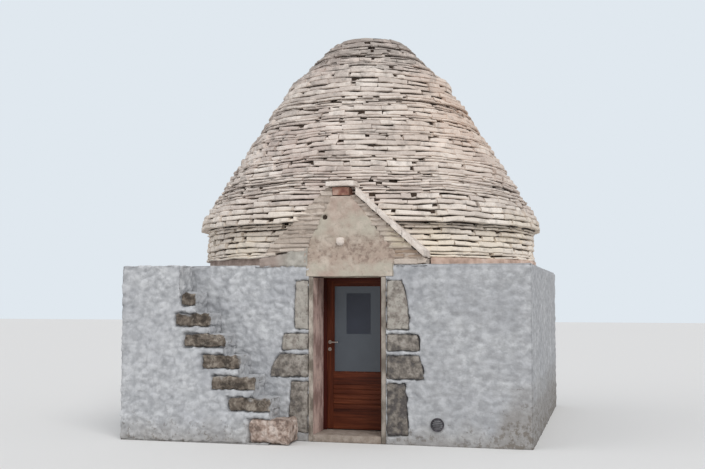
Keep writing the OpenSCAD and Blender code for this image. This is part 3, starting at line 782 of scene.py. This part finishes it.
def ring_of_slabs(rows):
    """Lays rows of stones and bends each round the roof. A row is (bottom, top, radius, tread)."""
    bm = bmesh.new()
    layers = [bm.verts.layers.float.new(name) for name in ("ring", "tone", "face")]
    for bottom, top, radius, tread in rows:
        split = random.uniform(*layer_split) if random.random() < two_layers else 1.0
        beds = [(bottom, bottom + (top - bottom) * split), (bottom + (top - bottom) * split, top)]
        for low, high in beds[:1 if split == 1.0 else 2]:
            around, end, pitted = 0.0, 2 * math.pi * radius, False
            setback = random.triangular(0.0, row_setback, 0.0) * smoothstep((crown_top - 0.15 - low) / 0.3)
            while around < end - slab_least:
                turn = around / radius
                weather = noise.noise(Vector((2 * math.sin(turn), 2 * math.cos(turn), low * 5)))
                pitted = not pitted and random.random() < pit_share * (1 + pit_cluster * weather)
                long = random.uniform(*pit_long) if pitted else random.triangular(*slab_long)
                long = min(long, radius * slab_bend, end - around)
                deep = max(random.uniform(*slab_deep), tread + slab_hold)
                back = random.uniform(*slab_back) + setback * smoothstep(0.5 + 2 * weather)
                tall = (high - low) * random.uniform(slab_thin, 1.0)
                if pitted:
                    back, tall = back + random.uniform(*pit_back), tall * random.uniform(*pit_tall)
                spot = Vector((around + long / 2, back + deep / 2, low + tall / 2))
                lay_slab(bm, layers, spot, Vector((long + slab_lap, deep, tall)), radius)
                around += long
    dress_slabs(bm, layers[2])
    for v in bm.verts:
        radius = v[layers[0]]
        turn, out = math.pi + v.co.x / radius, max(0.03, radius - v.co.y)
        v.co.x, v.co.y = out * math.sin(turn), -out * math.cos(turn)
        if v.co.y < 0 and in_gable(v.co.x, v.co.z):
            v.co.y = max(v.co.y, gable_front + gable_gap)
        above, below = v.co.z - wall_top - bed_tall, crown_top - 0.1 - v.co.z
        free = smoothstep(below / 0.4) * smoothstep(above / 0.2)
        v.co.z += row_wave * free * noise.noise(Vector((v.co.x * 1.4, v.co.y * 1.4, v.co.z * 1.1)))
        v.co.z = min(v.co.z, crown_top)
    return bm


roof_stone = Finish("roof_stone", roughness=0.95)
tinted(roof_stone, ("a4988f", "c8bcb3", "dfd4ca", "f4ebe2"), 2.0, 0.3)
blush = roof_stone.span(roof_stone.grain(1.0, 3, 0.5, shift=9.0), 0.48, 0.68)
roof_stone.stain(blush * 0.35, "c9b3aa")
beside, rise = roof_stone.place_on("X"), roof_stone.place_on("Z")
warm = roof_stone.span(beside, 0.6, 1.6) * roof_stone.span(rise, 3.4, 4.6)
roof_stone.stain(warm * 0.4, "dcb190")
# The lowest courses have yellowish stones, more on the right. Painted light: the lowest, upright courses
# are painted paler where they get less light, and so is the right side, where the light comes from.
lowest = 1 - roof_stone.span(rise, 2.6, 3.1)
sallow = roof_stone.span(roof_stone.grain(1.6, 3, 0.5, shift=6.0), 0.38, 0.6)
lit_right = roof_stone.span(beside, 0.0, 1.5)
roof_stone.stain(sallow * lowest * (0.35 + lit_right * 0.3), "dccaa6")
roof_stone.stain(lowest * 0.45 + lit_right * 0.15, "f8eee0")
# Grey lichen, heavier towards the crown, and painted shade: the left side, away from the light, is darkened
# with the same grey.
shaded_side = (1 - roof_stone.span(beside, -1.8, 0.4)) * roof_stone.span(rise, 3.0, 3.5)
lichen_and_shade = roof_stone.grain(7, 5, 0.7) + shaded_side * 0.08 + roof_stone.span(rise, 4.9, 5.5) * 0.2
roof_stone.stain(roof_stone.span(lichen_and_shade, 0.52, 0.72) * 0.6, "857f79")
roof_stone.bump((60, 5, 0.65), 0.006).bump((14, 3), 0.01)

roof_nodes = ("roof_drum", "roof_lower", "roof_middle", "roof_upper", "roof_crown")
laid = [(course, node) for node in roof_nodes for course in courses(node)]
inner = [course[2] for course, _ in laid[1:]] + [0.0]
for node in roof_nodes:
    rows = [(*course, course[2] - after) for (course, where), after in zip(laid, inner) if where == node]
    piece(node + "_courses", ring_of_slabs(rows), roof_stone, "house", "roof_stone", node, smooth=False)

# Packing behind the slabs
# Small stones and red earth fill the roof behind the face slabs; they show only in the joints, and are
# painted nearly black there, as painted shade.
# The lowest ring is a bed of pinkish lime mortar on the walls' top.
core_behind, core_least, core_gap, core_drop = 0.09, 0.06, 0.01, 0.004
bed_setback, bed_wide = 0.06, 0.3


def turned(profile, steps=96):
    """Turns a closed profile of (radius, height) once round the roof's axis."""
    bm = bmesh.new()
    verts = [bm.verts.new((r, 0, z)) for r, z in profile]
    edges = [bm.edges.new((a, b)) for a, b in zip(verts, verts[1:] + verts[:1])]
    bmesh.ops.spin(bm, geom=verts + edges, cent=(0, 0, 0), axis=(0, 0, 1), angle=2 * math.pi,
                   steps=steps, use_merge=True, use_duplicate=False)
    bmesh.ops.remove_doubles(bm, verts=bm.verts, dist=1e-5)
    bmesh.ops.recalc_face_normals(bm, faces=bm.faces)
    return bm


# Painted shade: the packing is painted nearly black, for the dark of the joints.
shaded_packing = clouded("shaded_packing", (30, 4), ((0.3, "2e2520"), (0.7, "54463a")), (40, 4), 0.01, roughness=1.0)
profile = []
for (bottom, top, radius), node in laid:
    profile += [(max(core_least, radius - core_behind), z) for z in (bottom, top - core_drop)]
cap_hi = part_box("vault_cap")[1]
profile += [(core_least, cap_hi.z + core_gap), (cap_hi.x + core_gap, cap_hi.z + core_gap)]
profile += [(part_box("inner_vault")[1].x + core_gap, wall_top + bed_tall)]
piece("roof_packing", turned(profile), shaded_packing, "house", "roof_stone", smooth=False)
stops = (0.35, "8b7a71"), (0.55, "a8968c"), (0.7, "bdada2")
lime_bed = clouded("lime_bed", (9, 5), stops, (30, 5), 0.01, roughness=0.95)
bed_out = laid[0][0][2] - bed_setback
bed_in, bed_top = bed_out - bed_wide, wall_top + bed_tall
bed_ring = turned([(bed_out, wall_top), (bed_out, bed_top), (bed_in, bed_top), (bed_in, wall_top)], 240)
piece("roof_bed", bed_ring, lime_bed, "house", "roof_stone", smooth=False)

# Gable over the door
# Two shoulders of flat stones carry the roof's courses across to a face of smoothed lime plaster, which
# runs down over the lintel. Pale slabs cover the right slope, and a tile and a ridge slab close the top.
shoulder_bed, shoulder_long, shoulder_deep = (0.05, 0.09), (0.1, 0.42, 0.2), 0.2
face_cell, face_ease, face_lumps, seam_deep, hole_deep = 0.018, 0.012, 0.022, 0.007, 0.07
face_wide, face_tall = 0.13, 0.08
smooth_left, smooth_right, smooth_foot = 0.06, 0.62, 2.66
putlog_hole = (0.002, 2.884, 0.03)


def front_outline(node):
    """The outline of a CAD node's front, as points in X and Z."""
    bm = shaped(copied(node), None, 0.0)
    bm.normal_update()
    face = max((f for f in bm.faces if f.normal.y < -0.99), key=lambda f: f.calc_area())
    points = [(v.co.x, v.co.z) for v in face.verts]
    bm.free()
    return points


def span_at(points, z):
    """Where an outline begins and ends at a height, or nothing above and below it."""
    hits = [a[0] + (b[0] - a[0]) * (z - a[1]) / (b[1] - a[1])
            for a, b in zip(points, points[1:] + points[:1]) if (a[1] - z) * (b[1] - z) < 0]
    return (min(hits), max(hits)) if hits else None


def stacked(node, inset):
    """Fills the outline of a node with rows of flat stones, behind its front by up to the inset."""
    points = front_outline(node)
    lo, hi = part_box(node)
    bm = bmesh.new()
    layers = [bm.verts.layers.float.new(name) for name in ("ring", "tone", "face")]
    z = lo.z
    while z < hi.z - 0.02:
        tall = min(random.uniform(*shoulder_bed), hi.z - z)
        ends = span_at(points, z + tall / 2)
        x = ends[0] if ends else hi.x
        while ends and x < ends[1] - 0.02:
            long = min(random.triangular(*shoulder_long), ends[1] - x)
            back = random.uniform(0.0, inset)
            spot = Vector((x + long / 2, lo.y + back + shoulder_deep / 2, z + tall * 0.48))
            size = Vector((long + slab_lap, shoulder_deep, tall * random.uniform(slab_thin, 1.0)))
            lay_slab(bm, layers, spot, size, 0)
            x += long
        z += tall
    return dress_slabs(bm, layers[2])


shoulder = Finish("shoulder_stone", roughness=0.95)
tinted(shoulder, ("978a7f", "aea195", "c3b6aa", "d6cabd"), 3.0, 0.3)
rise, right = shoulder.place_on("Z"), shoulder.span(shoulder.place_on("X"), 0.75, 0.95)
sallow = shoulder.span(rise, 2.46, 2.52) * (1 - shoulder.span(rise, 2.7, 2.85)) * right
shoulder.stain(sallow * 0.6, "d0c3a9")
# Low on the right shoulder the stones are brown, and darkened further there as painted shadow under the
# slabs above.
brown = shoulder.span(rise, 2.33, 2.38) * (1 - shoulder.span(rise, 2.45, 2.49)) * right
shoulder.stain(brown * 0.7, "8d7159")
shoulder.bump((60, 5, 0.65), 0.008).bump((18, 3), 0.014)


def hull_of(node, inset):
    """One closed solid round all the points of a CAD node, drawn in a little."""
    bm = bmesh.new()
    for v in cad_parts[node].data.vertices:
        bm.verts.new(v.co)
    bmesh.ops.remove_doubles(bm, verts=bm.verts, dist=1e-5)
    bmesh.ops.convex_hull(bm, input=bm.verts)
    bmesh.ops.delete(bm, geom=[v for v in bm.verts if not v.link_faces], context="VERTS")
    bmesh.ops.recalc_face_normals(bm, faces=bm.faces)
    bm.normal_update()
    for v in bm.verts:
        v.co -= v.normal * inset
    return bm


stops = (0.35, "9a8b7f"), (0.65, "c2b4a7")
earth_mortar = clouded("earth_mortar", (14, 5), stops, (30, 5), 0.012, roughness=1.0)
shoulder_inset, mortar_back, mortar_lumps = 0.018, 0.016, 0.02
for node in ("gable_shoulder_left", "gable_shoulder_right"):
    stones = stacked(node, shoulder_inset)
    piece(node + "_stones", stones, shoulder, "house", "roof_stone", node, smooth=False)
    lo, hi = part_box(node)
    fill = roughen(prism(front_outline(node), lo.y + mortar_back, hi.y, 0.03), mortar_lumps, 9, [(1, hi.y)])
    piece(node + "_mortar", fill, earth_mortar, "house", "roof_stone")


def plaster_lumps(p):
    """How deep the plaster lies: smooth in the middle, with rubble showing at the foot and the sides."""
    x_hole, z_hole, r_hole = putlog_hole
    hole = smoothstep(1.4 - math.hypot(p.x - x_hole, p.z - z_hole) / r_hole)
    lumps = 0.5 + 0.5 * noise.fractal(p * 6, 1.0, 2.0, 5)
    cell = Vector((p.x / face_wide, p.y / face_wide, p.z / face_tall)) + noise.noise_vector(p * 6) * 0.5
    near, spots = noise.voronoi(cell)
    drift = 0.15 * noise.noise(p * 3.1)
    left, right = smooth_left - p.x + drift, p.x - smooth_right + drift
    sides = max(smoothstep(right / 0.15), smoothstep(left / 0.12))
    foot = smoothstep((smooth_foot + drift - p.z) / 0.12)
    broken = max(sides, foot) * smoothstep((p.z - lintel_smooth) / 0.06)
    seam = smoothstep(1 - (near[1] - near[0]) / 0.4)
    stone = 0.5 + 0.5 * noise.noise(spots[0] * 4.7)
    return face_lumps * lumps * 0.6 + broken * (seam_deep * seam + 0.01 * stone), hole, broken * seam


lintel_smooth, plaster_lap = 2.29, 0.025
face_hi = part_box("gable_face")[1]
lintel_lo, lintel_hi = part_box("door_lintel")
top = [p for p in front_outline("gable_face") if p[1] > face_hi.z - 0.01]
(apex_left, apex_z), (apex_right, _) = min(top), max(top)
foot_left, foot_right = lintel_lo.x - plaster_lap, lintel_hi.x + plaster_lap
outline = [(lintel_lo.x, lintel_lo.z), (lintel_hi.x, lintel_lo.z), (lintel_hi.x, lintel_smooth),
           (foot_right, lintel_smooth), (foot_right, lintel_hi.z), (apex_right + plaster_lap, apex_z),
           (apex_left - plaster_lap, apex_z), (foot_left, lintel_hi.z), (foot_left, lintel_smooth),
           (lintel_lo.x, lintel_smooth)]
face = shaped(prism(outline, lintel_lo.y, lintel_hi.y), face_cell, face_ease)
hollow = face.verts.layers.float.new("hollow")
face.normal_update()
for v in face.verts:
    depth, hole, seam = plaster_lumps(v.co)
    if abs(v.co.y - lintel_hi.y) > 1e-3:
        v.co -= v.normal * depth
        v[hollow] = hole + 0.12 * seam + 0.25 * depth / face_lumps
        v.co.y += hole_deep * hole if v.normal.y < -0.9 else 0.0
plaster = Finish("gable_plaster", roughness=0.95)
pink = plaster.span(plaster.grain(2.2, 4, 0.6), 0.42, 0.6)
plaster.paint(plaster.mix(pink, shade("b9b1a2"), shade("b39f92")))
level = plaster.place_on("Z") + plaster.grain(4, 4, shift=3.0) * 0.2
girdle = plaster.span(level, 2.36, 2.44) * (1 - plaster.span(level, 2.66, 2.82))
plaster.stain(girdle * 0.7, "ad998b")
specks = plaster.span(plaster.grain(15, 4, 0.7, shift=7.0), 0.5, 0.6)
plaster.stain(specks * (0.15 + girdle * 0.5), "7d6b60")
pale = plaster.span(plaster.grain(5, 5, 0.65, shift=2.0), 0.52, 0.68)
plaster.stain(pale * 0.7, "cdc0b2")
rub = plaster.span(plaster.grain(24, 5, 0.7), 0.58, 0.72)
plaster.stain(rub * 0.5, "877a6e")
# Painted shade in the putlog hole, in the seams and where the plaster lies deepest.
plaster.stain(plaster.span(plaster.marked("hollow"), 0.25, 1.0), "4a3f37")
plaster.bump((48, 5, 0.65), 0.006).bump((15, 4), 0.008)
piece("gable_plaster_face", face, plaster, "house", "gable_stone", "gable_face", "door_lintel")
pale_rock = rock("pale_rock", ("dccfc4", "ebe0d6", "f4ece4"), pits=0.12, flecks=0.3)
stub_lo, stub_hi = Vector((0.15, -2.55, 2.505)), Vector((0.28, -2.46, 2.625))
stub_worn, stub_chip, stub_tone, stub_cell = 0.062, 0.03, 0.1, 0.01
stub = rough_stone(stub_lo, stub_hi, stub_worn, stub_chip, stub_tone, stub_cell)
piece("gable_stub_stone", stub, pale_rock, "house", "gable_stone")

verge = worn("verge_slab_row", cell=0.022, ease=0.01, depth=0.014, scale=10)
piece("verge_slabs_worn", verge, pale_rock, "house", "verge_stone", "verge_slab_row")
bedding = roughen(divide(hull_of("verge_slab_row", inset=0.012), cell=0.03), depth=0.008, scale=10)
piece("verge_bedding", bedding, pale_rock, "house", "verge_stone")
ridge = worn("ridge_slab", cell=0.025, ease=0.014, depth=0.016, scale=9)
piece("ridge_slab_worn", ridge, pale_rock, "house", "verge_stone", "ridge_slab")
stops = (0.35, "7d5247"), (0.5, "9d7463"), (0.68, "b8998a")
fired_clay = clouded("fired_clay", (12, 5), stops, (50, 4), 0.003, roughness=0.85)
tile = worn("ridge_tile", cell=0.025, ease=0.01, depth=0.012, scale=10)
piece("ridge_tile_worn", tile, fired_clay, "house", "tile", "ridge_tile")
fillet_under, fillet_back, fillet_ease = 0.03, 0.015, 0.02
fillet_lo, fillet_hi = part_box("plaster_fillet")
hidden = [(2, fillet_lo.z), (0, fillet_hi.x), (1, fillet_hi.y)]
fillet = wash_over(shaped(copied("plaster_fillet"), front_cell, fillet_ease, hidden), hidden)
for v in fillet.verts:
    v.co.x += fillet_under if v.co.x > fillet_hi.x - 1e-3 else 0.0
    if v.co.z < fillet_lo.z + 1e-3:
        v.co += Vector((0, fillet_back, -fillet_under))
stops = (0.35, "98938a"), (0.5, "b1aca3"), (0.66, "c2beb5")
grey_plaster = clouded("grey_plaster", (6, 5, 0.65), stops, (42, 5, 0.65), 0.007, roughness=0.92)
thin = 1 - grey_plaster.span(grey_plaster.place_on("X"), fillet_lo.x + 0.22, fillet_lo.x + 0.42)
grey_plaster.stain(thin * 0.8, "9d8b82")
piece("plaster_fillet_wash", fillet, grey_plaster, "house", "whitewash", "plaster_fillet")

# Cornice
# A projecting band of pinkish ochre plaster, run along the wall's top on the right of the gable.
# It finishes the wall under the lowest slabs, and its edges are worn round.
stops = (0.35, "ab9182"), (0.5, "cdb1a0"), (0.68, "e0cabc")
ochre = clouded("ochre_plaster", (6, 5), stops, (40, 5), 0.005, roughness=0.9)
band = worn("cornice", cell=0.05, ease=0.012, depth=0.012, scale=8)
piece("cornice_worn", band, ochre, "house", "cornice_plaster", "cornice")

# Inside
# The vault is laid dry in rings that close in to a cap, over four slabs that cut the room's corners.
# These, the inner lintel and the floor are dressed limestone, left bare.
stops = (0.35, "a89a88"), (0.5, "c6b9a6"), (0.65, "d9cdbb")
vault_rock = clouded("vault_rock", (5, 5), stops, (30, 5), 0.008, roughness=0.95)
flags = clouded("flags", (4, 5), ((0.35, "8b7f70"), (0.65, "b8ab99")), (20, 5), 0.006, roughness=0.8)
for node in ("inner_vault", "vault_cap", "corner_slabs", "inner_lintel"):
    refinish(node, vault_rock)
refinish("floor_slab", flags)

# Backdrop
# A plain pale floor that runs out to the horizon, with an even surround. The camera sees the surround
# pale blue, and its light on the house is weaker and nearly white.
floor_reach = 60
floor = bpy.data.objects.new("floor", bpy.data.meshes.new("floor"))
bm = bmesh.new()
bmesh.ops.create_grid(bm, x_segments=1, y_segments=1, size=floor_reach)
bm.to_mesh(floor.data)
bm.free()
scene.collection.objects.link(floor)
floor_paint = Finish("floor", roughness=0.95)
floor_paint.put(base_color=shade("e1e0de"))
floor.data.materials.append(floor_paint.material)
world = bpy.data.worlds.new("surround")
world.use_nodes = True
scene.world = world
surround = world.node_tree
seen = surround.nodes.new("ShaderNodeLightPath").outputs["Is Camera Ray"]
light = surround.nodes["Background"]
light.inputs["Color"].default_value = shade("f2f5fa")
light.inputs["Strength"].default_value = 0.62
pale = surround.nodes.new("ShaderNodeBackground")
pale.inputs["Color"].default_value = shade("e0e8ef")
either = surround.nodes.new("ShaderNodeMixShader")
surround.links.new(seen, either.inputs[0])
surround.links.new(light.outputs[0], either.inputs[1])
surround.links.new(pale.outputs[0], either.inputs[2])
surround.links.new(either.outputs[0], surround.nodes["World Output"].inputs[0])
